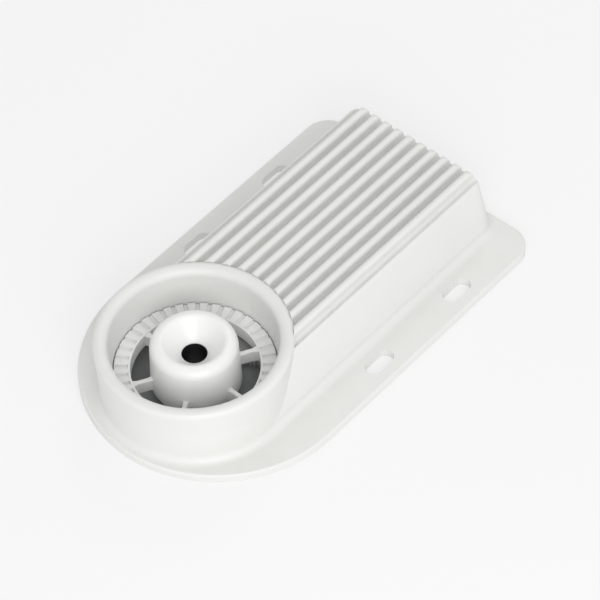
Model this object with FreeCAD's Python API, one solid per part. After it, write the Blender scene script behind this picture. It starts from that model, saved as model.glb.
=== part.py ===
"""Wall-mounted garage door opener: a flanged die-cast housing with a finned back, a drive wheel in a
round cup, a two-stage spur reduction, a flat brushless motor and the control electronics.

Millimetres. The origin is where the drive wheel's axis meets the mounting plane. +X runs from the
wheel towards the finned end, +Z points out of the wall or ceiling that carries the opener.
"""

import FreeCAD, Part
import math
import os

V = FreeCAD.Vector
ORIGIN = V(0, 0, 0)
UP = V(0, 0, 1)

# ---- overall ----
FLANGE_END_X = 182.0            # from the wheel's axis to the squared end
HEIGHT = 42.0                   # to the crests of the fins
WALL = 3.0
CUP_OUTER_R = 49.0

# ---- housing: flange ----
SIDE_MARGIN = 23.0              # flange beyond the cup and block on each side
END_MARGIN = 5.0                # flange beyond the block's foot at the squared end
FLANGE_THICKNESS = 5.0
FLANGE_CORNER_R = 14.0
FLANGE_EDGE_R = 1.2
FOOT_R = 4.5                    # cove between the raised body and the flange
FOOT_MARGIN = 0.5               # flange beyond the cove at the round end
SLOT_LENGTH = 18.0
SLOT_WIDTH = 9.0
SLOT_SPACING = 61.0
SLOT_END_GAP = 52.0             # from the far slots' centres to the squared end
SLOT_EDGE_GAP = 6.3             # from a slot's long side to the flange's edge

# ---- housing: cup round the drive wheel ----
CUP_FLARE = 1.0                 # the wall leans out by this much up to the rim
CUP_LIP_WIDTH = 7.0
CUP_LEAN = 1.7                  # the inside narrows by this much down to the wheel
RIM_DROP = 0.5                  # the cup's rim below the fins' crests
CUP_FLOOR_Z = 17.5              # underside of the cup wall, which keeps the wheel in
RIM_ROUND_R = 2.6
LIP_ROUND_R = 4.2
LIP_LEAN = 0.4

# ---- housing: raised block and fins ----
SIDE_DRAFT = 7.0
END_DRAFT = 3.5
SHOULDER_WIDTH = 3.25           # block top outside the fins on each side
SHOULDER_HEIGHT = 1.5           # above the valleys between the fins
BLOCK_FOOT_CORNER_R = 10.0
BLOCK_TOP_CORNER_R = 5.0
BLOCK_EDGE_R = 2.6
STRAIGHT_FOOT = 1.0             # upright strip between the cove and the drafted wall
FIN_COUNT = 10
FIN_THICKNESS = 3.9
FIN_HEIGHT = 6.0
FIN_SETBACK = 0.5               # from the top of the end wall to the fins' ends
FIN_END_R = 4.5
FIN_SINK = 0.4                  # how far the fins run into the cup's rim

# ---- gears ----
PRESSURE_ANGLE = math.radians(25.0)
OUT_MODULE = 1.25
PINION_TEETH = 14
IN_MODULE = 0.8
MOTOR_TEETH = 12
BACKLASH = 0.12                 # off each tooth's thickness
FLANK_STEPS = 3
TIP_GAP = 1.0                   # from the ring gear's teeth to the cup's inside
GEAR_GAP = 1.0                  # from the idler pinion's teeth to the motor plate

# ---- levels up the gear train ----
COVER_THICKNESS = 2.5
GASKET_THICKNESS = 1.0
IDLER_GEAR_Z = 4.0
IDLER_GEAR_FACE = 4.0
RING_GEAR_Z = 9.5
RING_GEAR_FACE = 6.8
PINION_PROUD = 0.2              # pinion teeth beyond the teeth they drive
AXIAL_PLAY = 0.1
RUNNING_GAP = 0.05              # radial, every turning fit

# ---- drive wheel ----
BORE_R = 6.5
SLEEVE_WALL = 2.0
JOURNAL_WALL = 2.5
JOURNAL_Z = 0.8
BOSS_R = 22.0
BOSS_DRAFT = 1.0
BOSS_DROP = 2.5                 # the boss's top below the cup's rim
BOSS_ROUND_R = 5.0
FUNNEL_WIDTH = 8.5              # the funnel's mouth outside the bore
FUNNEL_DEPTH = 10.0
FUNNEL_EDGE = 1.6
BORE_LAND = 0.5                 # bore in the wheel itself above the sleeve
WHEEL_GAP = 0.5                 # between the wheel's rim and the cup
RIM_WIDTH = 8.3
RIM_TOP_Z = 19.5
WEB_COUNT = 6
WEB_THICKNESS = 2.4
WEB_DROP = 0.7
KEY_COUNT = 40                  # radial keys on the wheel's rim
KEY_HEIGHT = 1.4
KEY_SHARE = 0.64                # key width over key pitch
KEY_INSET = 1.2
GEAR_SEAT_INSET = 2.8
GEAR_LIP_THICKNESS = 2.0
GEAR_LIP_INSET = 1.0
GEAR_SCREW_COUNT = 6

# ---- hub bush, thrust washer and seal ----
BUSH_WALL = 3.0
BUSH_FLANGE = 3.5
BUSH_FLANGE_THICKNESS = 1.3
HUB_BOSS_WALL = 4.0
HUB_BOSS_Z = 6.9
WASHER_BORE_GAP = 0.6
SEAL_THICKNESS = 1.0
SEAL_BORE_GAP = 0.3
SEAL_EDGE_GAP = 0.5

# ---- idler ----
IDLER_PIN_R = 3.0
IDLER_HUB_R = 6.0
IDLER_BOSS_R = 5.5
PIN_HEAD_ROOM = 3.0             # housing left above the pin
PIN_FLOOR = 0.9                 # cover left under the pin
PIN_CHAMFER = 0.5
WASHER_OUTER_R = 5.2
WASHER_THICKNESS = 0.6
GEAR_RELIEF = 4.0               # rim and hub left by the groove in the idler gear
GEAR_GROOVE = 1.0

# ---- motor ----
MOTOR_R = 21.0
MOTOR_CAN_WALL = 1.5
CAN_EDGE_R = 1.2
MOTOR_PLATE_R = 22.4
MOTOR_PLATE_THICKNESS = 2.0
MOTOR_PLATE_Z = 9.5
MOTOR_POST_RING_R = 27.0
MOTOR_POST_ANGLES = (55.0, 125.0, 235.0, 305.0)
MOTOR_POST_R = 4.0
PAD_THICKNESS = 2.5
PAD_R = 14.0
SHAFT_R = 2.5
SHAFT_CHAMFER = 0.4
MOTOR_BUSH_R = 4.5
MOTOR_BUSH_LENGTH = 3.0
BUSH_COLLAR = 1.5
END_TURN_ROOM = (4.0, 6.0)      # under and over the stator
STATOR_BORE_R = 11.0
STATOR_YOKE = 3.4
STATOR_TEETH = 9
TOOTH_WIDTH = 3.6
TOOTH_SHOE = 1.2
SHOE_HALF = 3.4
COIL_DEPTH = 1.9
COIL_GAP = 0.15
AIR_GAP = 0.5
MAGNET_THICKNESS = 2.2
MAGNET_COUNT = 6
MAGNET_SLIT = 0.8
ROTOR_OVERHANG = 0.5

# ---- screws ----
COVER_SCREW_R = 1.5
COVER_HEAD_R = 2.9
COVER_HEAD_HEIGHT = 1.5
SMALL_SCREW_R = 1.25
SMALL_HEAD_R = 2.4
SMALL_HEAD_HEIGHT = 1.5
PLATE_HEAD_R = 2.1
PLATE_HEAD_HEIGHT = 1.1
GEAR_HEAD_R = 1.8
GEAR_HEAD_HEIGHT = 0.8
SCREW_GAP = 0.15                # radial, round shanks and heads
HEAD_SUNK = 0.1
SOCKET_DEPTH = 0.55             # hexagon socket, as shares of its head
SOCKET_WIDTH = 0.5
SCREW_END_GAP = 0.5             # from a screw's tip to the bottom of its hole
HOLE_ROOF = 2.0                 # material left above a cover screw's hole
PLATE_SCREW_DEPTH = 8.0
GEAR_SCREW_TIP = 1.2            # below the top of the ring gear

# ---- back cover and the posts that hold it ----
RECESS_MARGIN = 3.5             # seat for the cover outside the cavity
COVER_GAP = 0.3
COVER_POST_R = 3.5
POST_SINK = 0.6                 # how far a post runs into the wall beside it
CUP_POST_ANGLES = (180.0, 115.0, 245.0)
CUP_POST_Z = 9.0
BLOCK_POST_Z = 22.0
NEAR_POST_GAP = 18.0            # from the motor's axis
FAR_POST_GAP = 11.0             # from the block's end

# ---- electronics ----
BOARD_NEAR_GAP = 4.4            # from the motor
BOARD_FAR_GAP = 14.0            # from the block's end
BOARD_SIDE_GAP = 7.5
BOARD_DROP = 6.0                # from the ceiling to the board's lower face
BOARD_THICKNESS = 1.6
BOARD_CORNER_R = 2.0
BOARD_POST_INSET = 4.0
BOARD_POST_R = 3.2
TRANSISTOR_COUNT = 6
TRANSISTOR_PITCH = 8.5
TRANSISTOR_SIZE = (10.0, 6.8)
TRANSISTOR_END_GAP = 14.0
TRANSISTOR_PAD_THICKNESS = 1.0
LEG_PITCH = 2.2
LEG_WIDTH = 0.8
CAPACITOR_COUNT = 3
CAPACITOR_R = 5.0
CAPACITOR_PITCH = 12.0
CAPACITOR_LENGTH = 18.0
CAPACITOR_INSET = 9.5
CHIP_THICKNESS = 1.4
TERMINAL_COUNT = 5
TERMINAL_PITCH = 5.0
TERMINAL_SIZE = (8.0, 11.0)     # along X and down
TERMINAL_END_GAP = 3.0
PLUG_SIZE = (5.0, 9.0, 7.0)
PLUG_INSET = 1.0
PLUG_Y = 22.0

# ---- cable entry ----
GROMMET_R = 6.0
GROMMET_LIP_R = 8.5
GROMMET_LIP = 1.5
GROMMET_Z = 19.5
GROMMET_OUTER_GAP = 0.1
GROMMET_INNER_GAP = 3.0

# ---- worked out from the sizes above ----
FLANGE_HALF_WIDTH = CUP_OUTER_R + SIDE_MARGIN
FLANGE_ROUND_X = SIDE_MARGIN - FOOT_R - FOOT_MARGIN
SLOT_X = (FLANGE_END_X - SLOT_END_GAP - SLOT_SPACING, FLANGE_END_X - SLOT_END_GAP)
SLOT_Y = FLANGE_HALF_WIDTH - SLOT_EDGE_GAP - SLOT_WIDTH / 2
FOOT_Z = FLANGE_THICKNESS + FOOT_R + STRAIGHT_FOOT
CAVITY_R = CUP_OUTER_R - WALL
CUP_RIM_R = CUP_OUTER_R + CUP_FLARE
CUP_RIM_Z = HEIGHT - RIM_DROP
CUP_LIP_R = CUP_RIM_R - CUP_LIP_WIDTH
CUP_THROAT_R = CUP_LIP_R - CUP_LEAN
BLOCK_END_X = FLANGE_END_X - END_MARGIN
BLOCK_TOP_END_X = BLOCK_END_X - END_DRAFT
BLOCK_TOP_HALF = CUP_OUTER_R - SIDE_DRAFT
FIN_ROOT_Z = HEIGHT - FIN_HEIGHT
BLOCK_TOP_Z = FIN_ROOT_Z + SHOULDER_HEIGHT
FIN_END_X = BLOCK_TOP_END_X - FIN_SETBACK
FIN_PITCH = 2 * (BLOCK_TOP_HALF - SHOULDER_WIDTH) / FIN_COUNT
CEILING_Z = FIN_ROOT_Z - WALL
SEAT_Z = COVER_THICKNESS + GASKET_THICKNESS
RECESS_R = CAVITY_R + RECESS_MARGIN

RIM_OUTER_R = CUP_THROAT_R - WHEEL_GAP
RIM_INNER_R = RIM_OUTER_R - RIM_WIDTH
GEAR_SEAT_R = RIM_OUTER_R - GEAR_SEAT_INSET
GEAR_LIP_INNER_R = RIM_INNER_R + GEAR_LIP_INSET
WEB_TOP_Z = RIM_TOP_Z - WEB_DROP
BOSS_TOP_Z = CUP_RIM_Z - BOSS_DROP
FUNNEL_FLOOR_Z = BOSS_TOP_Z - FUNNEL_DEPTH
FUNNEL_R = BORE_R + FUNNEL_WIDTH
SLEEVE_TOP_Z = FUNNEL_FLOOR_Z - BORE_LAND
SLEEVE_R = BORE_R + SLEEVE_WALL
JOURNAL_R = SLEEVE_R + JOURNAL_WALL
BUSH_BORE_R = JOURNAL_R + RUNNING_GAP
BUSH_R = BUSH_BORE_R + BUSH_WALL
BUSH_FLANGE_R = BUSH_R + BUSH_FLANGE
BUSH_TOP_Z = HUB_BOSS_Z + BUSH_FLANGE_THICKNESS

RING_TEETH = int(2 * (CAVITY_R - TIP_GAP - OUT_MODULE) / OUT_MODULE + 1e-6)
PINION_TIP_R = OUT_MODULE * (PINION_TEETH / 2 + 1)
IDLER_TEETH = math.ceil(2 * (PINION_TIP_R + MOTOR_PLATE_R + GEAR_GAP) / IN_MODULE) - MOTOR_TEETH
IDLER_X = OUT_MODULE * (RING_TEETH + PINION_TEETH) / 2
MOTOR_X = IDLER_X + IN_MODULE * (IDLER_TEETH + MOTOR_TEETH) / 2
IDLER_GEAR_TOP = IDLER_GEAR_Z + IDLER_GEAR_FACE
RING_GEAR_TOP = RING_GEAR_Z + RING_GEAR_FACE
PINION_TOP = RING_GEAR_TOP + PINION_PROUD
IDLER_PIN_TOP_Z = CEILING_Z - PIN_HEAD_ROOM
WASHER_TOP_Z = IDLER_GEAR_Z - AXIAL_PLAY
WASHER_Z = WASHER_TOP_Z - WASHER_THICKNESS

MOTOR_TOP_Z = CEILING_Z - PAD_THICKNESS
PLATE_TOP_Z = MOTOR_PLATE_Z + MOTOR_PLATE_THICKNESS
CAN_INNER_R = MOTOR_R - MOTOR_CAN_WALL
YOKE_INNER_R = CAN_INNER_R - STATOR_YOKE
STATOR_Z = (PLATE_TOP_Z + END_TURN_ROOM[0], MOTOR_TOP_Z - END_TURN_ROOM[1])
ROTOR_Z = (STATOR_Z[0] - ROTOR_OVERHANG, STATOR_Z[1] + ROTOR_OVERHANG)
ROTOR_R = STATOR_BORE_R - AIR_GAP

BOARD_X = (MOTOR_X + MOTOR_R + BOARD_NEAR_GAP, BLOCK_END_X - BOARD_FAR_GAP)
BOARD_HALF_Y = BLOCK_TOP_HALF - BOARD_SIDE_GAP
BOARD_Z = CEILING_Z - BOARD_DROP
BOARD_TOP_Z = BOARD_Z + BOARD_THICKNESS
BLOCK_POST_X = (MOTOR_X + NEAR_POST_GAP, BLOCK_END_X - FAR_POST_GAP)


# ---------------------------------------------------------------- helpers

def rod(radius, z0, z1, x=0.0, y=0.0):
    return Part.makeCylinder(radius, z1 - z0, V(x, y, z0), UP)


def tube(outer, inner, z0, z1, x=0.0, y=0.0):
    return rod(outer, z0, z1, x, y).cut(rod(inner, z0 - 1, z1 + 1, x, y))


def cone(r0, r1, z0, z1, x=0.0, y=0.0):
    return Part.makeCone(r0, r1, z1 - z0, V(x, y, z0), UP)


def box(x0, x1, y0, y1, z0, z1):
    return Part.makeBox(x1 - x0, y1 - y0, z1 - z0, V(x0, y0, z0))


def polar(radius, degrees, x=0.0, y=0.0):
    turn = math.radians(degrees)
    return x + radius * math.cos(turn), y + radius * math.sin(turn)


def join(shapes):
    return shapes[0].multiFuse(shapes[1:]).removeSplitter()


def revolve(points):
    """A solid of revolution about Z from (radius, z) points."""
    corners = [V(r, 0, z) for r, z in points]
    face = Part.Face(Part.makePolygon(corners + corners[:1]))
    return face.revolve(ORIGIN, UP, 360)


def turned(shape, degrees, x=0.0, y=0.0):
    copy = shape.copy()
    copy.rotate(V(x, y, 0), UP, degrees)
    return copy


def line(p, q):
    return Part.LineSegment(V(*p), V(*q)).toShape()


def arc(p, q, r):
    return Part.Arc(V(*p), V(*q), V(*r)).toShape()


def corner_arc(x, y, z, radius, start, end):
    """A quarter turn about (x, y) between two directions in degrees."""
    points = [(*polar(radius, a, x, y), z) for a in (start, (start + end) / 2, end)]
    return arc(*points)


def d_wire(radius, centre_x, end_x, half, corner, z):
    """A round end about centre_x, two long sides and a far end with rounded corners.

    The long sides start beside the round end's centre and may close in to half at the far end.
    """
    near = [(centre_x, s * radius, z) for s in (1, -1)]
    sides = [(end_x - corner, s * half, z) for s in (1, -1)]
    ends = [(end_x, s * (half - corner), z) for s in (1, -1)]
    return Part.Wire([
        arc(near[0], (centre_x - radius, 0, z), near[1]),
        line(near[1], sides[1]),
        corner_arc(end_x - corner, -(half - corner), z, corner, -90, 0),
        line(ends[1], ends[0]),
        corner_arc(end_x - corner, half - corner, z, corner, 0, 90),
        line(sides[0], near[0]),
    ])


def d_prism(radius, centre_x, end_x, half, corner, z0, z1):
    wire = d_wire(radius, centre_x, end_x, half, corner, z0)
    return Part.Face(wire).extrude(V(0, 0, z1 - z0))


def straight_wire(end_x, half, corner, z):
    """A rectangle from x = 0 whose far corners are rounded."""
    return Part.Wire([
        line((0, half, z), (0, -half, z)),
        line((0, -half, z), (end_x - corner, -half, z)),
        corner_arc(end_x - corner, -(half - corner), z, corner, -90, 0),
        line((end_x, -(half - corner), z), (end_x, half - corner, z)),
        corner_arc(end_x - corner, half - corner, z, corner, 0, 90),
        line((end_x - corner, half, z), (0, half, z)),
    ])


def edges_where(shape, test):
    return [e for e in shape.Edges if test(e)]


def flat_at(edge, z):
    box_ = edge.BoundBox
    return abs(box_.ZMin - z) < 1e-3 and abs(box_.ZMax - z) < 1e-3


def save(name, shape):
    shape.exportStep(f"parts/{name}.step")


# ---------------------------------------------------------------- gears

def involute(angle):
    return math.tan(angle) - angle


def tooth_half_angle(teeth, module, radius):
    pitch_r = module * teeth / 2
    base_r = pitch_r * math.cos(PRESSURE_ANGLE)
    thickness = math.pi * module / 2 - BACKLASH
    at_radius = math.acos(min(1.0, base_r / max(radius, base_r)))
    return thickness / (2 * pitch_r) + involute(PRESSURE_ANGLE) - involute(at_radius)


def gear_blank(teeth, module, z0, z1, first_tooth, x=0.0):
    """External involute teeth; first_tooth is the direction of one tooth's centre in degrees."""
    pitch_r = module * teeth / 2
    root_r = pitch_r - 1.25 * module
    tip_r = pitch_r + module
    low = max(root_r, pitch_r * math.cos(PRESSURE_ANGLE))
    radii = [root_r] if low > root_r else []
    radii += [low + (tip_r - low) * i / FLANK_STEPS for i in range(FLANK_STEPS + 1)]
    points = []
    for tooth in range(teeth):
        centre = math.radians(first_tooth) + 2 * math.pi * tooth / teeth
        rising = [(r, centre - tooth_half_angle(teeth, module, r)) for r in radii]
        falling = [(r, centre + tooth_half_angle(teeth, module, r)) for r in reversed(radii)]
        points += [V(x + r * math.cos(a), r * math.sin(a), z0) for r, a in rising + falling]
    return Part.Face(Part.makePolygon(points + points[:1])).extrude(V(0, 0, z1 - z0))


# ---------------------------------------------------------------- housing

def raised_outline():
    """Flange, upright foot of the cup and block, and the cove where they meet."""
    flange = d_prism(FLANGE_HALF_WIDTH, FLANGE_ROUND_X, FLANGE_END_X, FLANGE_HALF_WIDTH,
                     FLANGE_CORNER_R, 0, FLANGE_THICKNESS)
    flange = flange.makeFillet(FLANGE_EDGE_R, edges_where(flange, lambda e: flat_at(e, FLANGE_THICKNESS)))
    foot = d_prism(CUP_OUTER_R, 0, BLOCK_END_X, CUP_OUTER_R, BLOCK_FOOT_CORNER_R,
                   FLANGE_THICKNESS - 1, FOOT_Z)
    body = flange.fuse(foot).removeSplitter()
    reach = BLOCK_END_X + 0.1

    def at_foot(edge):
        box_ = edge.BoundBox
        inside = box_.XMax <= reach and max(abs(box_.YMin), abs(box_.YMax)) <= CUP_OUTER_R + 0.1
        return flat_at(edge, FLANGE_THICKNESS) and inside and edge.Length > 1

    return body.makeFillet(FOOT_R, edges_where(body, at_foot))


def block():
    foot = straight_wire(BLOCK_END_X, CUP_OUTER_R, BLOCK_FOOT_CORNER_R, FOOT_Z)
    top = straight_wire(BLOCK_TOP_END_X, BLOCK_TOP_HALF, BLOCK_TOP_CORNER_R, BLOCK_TOP_Z)
    solid = Part.makeLoft([foot, top], True, True)
    rim = edges_where(solid, lambda e: flat_at(e, BLOCK_TOP_Z) and e.BoundBox.XMax > 1)
    return solid.makeFillet(BLOCK_EDGE_R, rim)


def bar(y, width, z_low, z_high, x0, x1, rounded_top):
    """A bar along X whose top or bottom is a half circle across its width."""
    half = width / 2
    if rounded_top:
        flat, round_, crown = z_low, z_high - half, z_high
    else:
        flat, round_, crown = z_high, z_low + half, z_low
    section = Part.Wire([
        line((x0, y - half, flat), (x0, y + half, flat)),
        line((x0, y + half, flat), (x0, y + half, round_)),
        arc((x0, y + half, round_), (x0, y, crown), (x0, y - half, round_)),
        line((x0, y - half, round_), (x0, y - half, flat)),
    ])
    return Part.Face(section).extrude(V(x1 - x0, 0, 0))


def fin(index):
    """A bar with a round crest and a round far corner."""
    y = (index - (FIN_COUNT - 1) / 2) * FIN_PITCH
    solid = bar(y, FIN_THICKNESS, FIN_ROOT_Z - 1, HEIGHT, 0, FIN_END_X, True)
    corner_x, corner_z = FIN_END_X - FIN_END_R, HEIGHT - FIN_END_R
    corner = box(corner_x, FIN_END_X + 1, y - FIN_PITCH, y + FIN_PITCH, corner_z, HEIGHT + 1)
    round_ = Part.makeCylinder(FIN_END_R, 2 * FIN_PITCH, V(corner_x, y - FIN_PITCH, corner_z), V(0, 1, 0))
    return solid.cut(corner.cut(round_))


def valley(index):
    y = (index - FIN_COUNT / 2) * FIN_PITCH
    return bar(y, FIN_PITCH - FIN_THICKNESS, FIN_ROOT_Z, HEIGHT + 5, 0, FLANGE_END_X, False)


def cup():
    """The cup's wall, from the foot to the rounded rim."""
    shoulder_z = CUP_RIM_Z - RIM_ROUND_R
    wall = revolve([
        (CUP_THROAT_R, CUP_FLOOR_Z), (CAVITY_R, CUP_FLOOR_Z), (CAVITY_R, FOOT_Z - 1),
        (CUP_OUTER_R, FOOT_Z - 1), (CUP_OUTER_R, (FOOT_Z + shoulder_z) / 2), (CUP_RIM_R, shoulder_z),
        (CUP_RIM_R, CUP_RIM_Z), (CUP_LIP_R, CUP_RIM_Z), (CUP_LIP_R - LIP_LEAN, shoulder_z),
        (CUP_THROAT_R, RIM_TOP_Z),
    ])

    def rim_edge(radius):
        return edges_where(wall, lambda e: flat_at(e, CUP_RIM_Z) and abs(e.BoundBox.XMax - radius) < 0.1)

    wall = wall.makeFillet(RIM_ROUND_R, rim_edge(CUP_RIM_R))
    return wall.makeFillet(LIP_ROUND_R, rim_edge(CUP_LIP_R))


def cavity():
    """The room inside: round under the cup, drafted inside the block."""
    low = straight_wire(BLOCK_END_X - WALL, CAVITY_R, BLOCK_FOOT_CORNER_R - WALL, FOOT_Z)
    high = straight_wire(BLOCK_TOP_END_X - WALL, BLOCK_TOP_HALF - WALL, BLOCK_TOP_CORNER_R - WALL + 1,
                         CEILING_Z)
    upper = Part.makeLoft([low, high], True, True).cut(rod(CUP_OUTER_R, CUP_FLOOR_Z, HEIGHT + 9))
    upper = upper.cut(box(-1, CAVITY_R, -FLANGE_END_X, FLANGE_END_X, CUP_FLOOR_Z, HEIGHT + 9)
                      .common(rod(CUP_OUTER_R + 1, CUP_FLOOR_Z, HEIGHT + 9)))
    lower = d_prism(CAVITY_R, 0, BLOCK_END_X - WALL, CAVITY_R, BLOCK_FOOT_CORNER_R - WALL, -1, FOOT_Z)
    round_ = rod(CAVITY_R, -1, CUP_FLOOR_Z)
    return upper.fuse(lower).fuse(round_)


def recess(gap, z0, z1):
    """The flat seat round the cavity that takes the cover and its gasket."""
    return d_prism(RECESS_R - gap, 0, BLOCK_END_X - WALL + RECESS_MARGIN - gap, RECESS_R - gap,
                   BLOCK_FOOT_CORNER_R - WALL + RECESS_MARGIN - gap, z0, z1)


def slot(x, y):
    straight = SLOT_LENGTH - SLOT_WIDTH
    radius = SLOT_WIDTH / 2
    middle = box(x - straight / 2, x + straight / 2, y - radius, y + radius, -1, FLANGE_THICKNESS + 1)
    ends = [rod(radius, -1, FLANGE_THICKNESS + 1, x + s * straight / 2, y) for s in (-1, 1)]
    return join([middle] + ends)


def cover_posts():
    """Centres and top of each post that a cover screw goes into, those in the cup first."""
    ring_r = CAVITY_R - COVER_POST_R + POST_SINK
    cup_posts = [(*polar(ring_r, a), CUP_POST_Z) for a in CUP_POST_ANGLES]
    y = CAVITY_R - COVER_POST_R + POST_SINK
    block_posts = [(x, s * y, BLOCK_POST_Z) for x in BLOCK_POST_X for s in (-1, 1)]
    return cup_posts + block_posts


def motor_posts():
    return [polar(MOTOR_POST_RING_R, a, MOTOR_X) for a in MOTOR_POST_ANGLES]


def board_posts():
    near, far = BOARD_X[0] + BOARD_POST_INSET, BOARD_X[1] - BOARD_POST_INSET
    y = BOARD_HALF_Y - BOARD_POST_INSET
    return [(x, s * y) for x in (near, far) for s in (-1, 1)]


def housing_posts(outside):
    """Every post and boss inside the housing, kept within its outer skin."""
    posts = [rod(COVER_POST_R, SEAT_Z, top, x, y) for x, y, top in cover_posts()[:len(CUP_POST_ANGLES)]]
    posts += [rod(COVER_POST_R, SEAT_Z, CEILING_Z + 1, x, y)
              for x, y, top in cover_posts()[len(CUP_POST_ANGLES):]]
    posts += [rod(MOTOR_POST_R, PLATE_TOP_Z, CEILING_Z + 1, x, y) for x, y in motor_posts()]
    posts += [rod(BOARD_POST_R, BOARD_TOP_Z, CEILING_Z + 1, x, y) for x, y in board_posts()]
    posts.append(rod(IDLER_BOSS_R, CUP_FLOOR_Z, CEILING_Z + 1, IDLER_X))
    return [p.common(outside) for p in posts]


def housing():
    outside = join([raised_outline(), block()])
    outside = outside.fuse([fin(i) for i in range(FIN_COUNT)])
    outside = outside.cut(Part.makeCompound([valley(i) for i in range(FIN_COUNT + 1)]))
    inside_cup = rod(CUP_OUTER_R - CUP_FLARE, CUP_FLOOR_Z, HEIGHT + 9)
    above_rim = rod(CUP_RIM_R - FIN_SINK, CUP_RIM_Z - 2 * RIM_ROUND_R, HEIGHT + 9)
    outside = outside.cut(inside_cup).cut(above_rim).fuse(cup()).removeSplitter()
    skin = outside.copy()
    shell = outside.cut(cavity()).cut(recess(0, -1, SEAT_Z))
    shell = shell.cut(rod(CUP_THROAT_R, -1, CUP_FLOOR_Z + 1))
    shell = shell.fuse(housing_posts(skin))
    holes = [slot(x, s * SLOT_Y) for x in SLOT_X for s in (-1, 1)]
    holes += [rod(COVER_SCREW_R, -1, top - HOLE_ROOF, x, y) for x, y, top in cover_posts()]
    holes += [rod(SMALL_SCREW_R, 0, PLATE_TOP_Z + PLATE_SCREW_DEPTH, x, y) for x, y in motor_posts()]
    holes += [rod(SMALL_SCREW_R, 0, CEILING_Z - 1, x, y) for x, y in board_posts()]
    holes.append(rod(IDLER_PIN_R, 0, IDLER_PIN_TOP_Z, IDLER_X))
    entry = V(BLOCK_END_X - WALL - SIDE_MARGIN, 0, GROMMET_Z)
    holes.append(Part.makeCylinder(GROMMET_R, 2 * SIDE_MARGIN, entry, V(1, 0, 0)))
    return shell.cut(Part.makeCompound(holes)).removeSplitter()


# ---------------------------------------------------------------- back cover

def back_cover():
    plate = recess(COVER_GAP, 0, COVER_THICKNESS)
    hub_boss = rod(BUSH_R + HUB_BOSS_WALL, 1, HUB_BOSS_Z)
    pin_boss = rod(WASHER_OUTER_R, 1, WASHER_Z, IDLER_X)
    solid = join([plate, hub_boss, pin_boss])
    holes = [rod(BUSH_R, -1, HUB_BOSS_Z + 1)]
    holes.append(rod(IDLER_PIN_R, PIN_FLOOR, IDLER_GEAR_Z, IDLER_X))
    for x, y, _ in cover_posts():
        holes += countersink(x, y, 0, COVER_HEAD_R, COVER_SCREW_R, COVER_HEAD_HEIGHT, COVER_THICKNESS)
    return solid.cut(Part.makeCompound(holes))


def cover_gasket():
    strip = recess(COVER_GAP, COVER_THICKNESS, SEAT_Z)
    inside = d_prism(CAVITY_R, 0, BLOCK_END_X - WALL, CAVITY_R, BLOCK_FOOT_CORNER_R - WALL, 0, SEAT_Z + 1)
    ring = strip.cut(inside)
    eyes = [rod(COVER_POST_R, COVER_THICKNESS, SEAT_Z, x, y) for x, y, _ in cover_posts()]
    ring = ring.fuse([e.common(strip) for e in eyes])
    holes = [rod(COVER_SCREW_R + SCREW_GAP, 0, SEAT_Z + 1, x, y) for x, y, _ in cover_posts()]
    return ring.cut(Part.makeCompound(holes)).removeSplitter()


def countersink(x, y, z, head_r, shank_r, head_height, depth):
    """Cutters for a screw that enters a face at z from below: its clearance hole and its cone."""
    hole = rod(shank_r + SCREW_GAP, z - 1, z + depth + 1, x, y)
    sink = cone(head_r + SCREW_GAP, shank_r + SCREW_GAP, z, z + head_height + HEAD_SUNK, x, y)
    return [hole, sink]


def countersunk_screw(x, y, face_z, head_r, shank_r, head_height, tip_z):
    """Sunk just inside the face at face_z, its head facing down and its shank going up to tip_z."""
    z = face_z + HEAD_SUNK
    head = cone(head_r, shank_r, z, z + head_height, x, y)
    shank = rod(shank_r, z + head_height, tip_z, x, y)
    socket = hexagon(x, y, z - 1, z + head_height * SOCKET_DEPTH, head_r * SOCKET_WIDTH)
    return head.fuse(shank).cut(socket)


def pan_screw(x, y, z, tip_z):
    """Head below z, shank up from it."""
    bottom = z - SMALL_HEAD_HEIGHT
    head = rod(SMALL_HEAD_R, bottom, z, x, y)
    head = head.makeFillet(SMALL_HEAD_HEIGHT / 3, edges_where(head, lambda e: flat_at(e, bottom)))
    shank = rod(SMALL_SCREW_R, z, tip_z, x, y)
    socket = hexagon(x, y, bottom - 1, bottom + SMALL_HEAD_HEIGHT * SOCKET_DEPTH, SMALL_HEAD_R * SOCKET_WIDTH)
    return head.fuse(shank).cut(socket)


def hexagon(x, y, z0, z1, radius):
    corners = [V(*polar(radius, 60 * i, x, y), z0) for i in range(7)]
    return Part.Face(Part.makePolygon(corners)).extrude(V(0, 0, z1 - z0))


def cover_screws():
    return [countersunk_screw(x, y, 0, COVER_HEAD_R, COVER_SCREW_R, COVER_HEAD_HEIGHT,
                              top - HOLE_ROOF - SCREW_END_GAP) for x, y, top in cover_posts()]


# ---------------------------------------------------------------- drive wheel

def boss():
    edge = FUNNEL_EDGE
    solid = revolve([
        (0, RING_GEAR_Z), (BOSS_R + BOSS_DRAFT, RING_GEAR_Z), (BOSS_R, BOSS_TOP_Z), (0, BOSS_TOP_Z),
    ])
    solid = solid.makeFillet(BOSS_ROUND_R, edges_where(solid, lambda e: flat_at(e, BOSS_TOP_Z)))
    funnel = revolve([
        (0, FUNNEL_FLOOR_Z), (BORE_R, FUNNEL_FLOOR_Z), (FUNNEL_R - edge, BOSS_TOP_Z - 2 * edge),
        (FUNNEL_R, BOSS_TOP_Z - edge / 2), (FUNNEL_R + edge, BOSS_TOP_Z), (FUNNEL_R + edge, BOSS_TOP_Z + 1),
        (0, BOSS_TOP_Z + 1),
    ])
    journal = rod(JOURNAL_R, JOURNAL_Z, RING_GEAR_Z + 1)
    bore = rod(SLEEVE_R, JOURNAL_Z - 1, SLEEVE_TOP_Z).fuse(rod(BORE_R, 0, FUNNEL_FLOOR_Z + 1))
    return solid.fuse(journal).cut(funnel).cut(bore)


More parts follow.
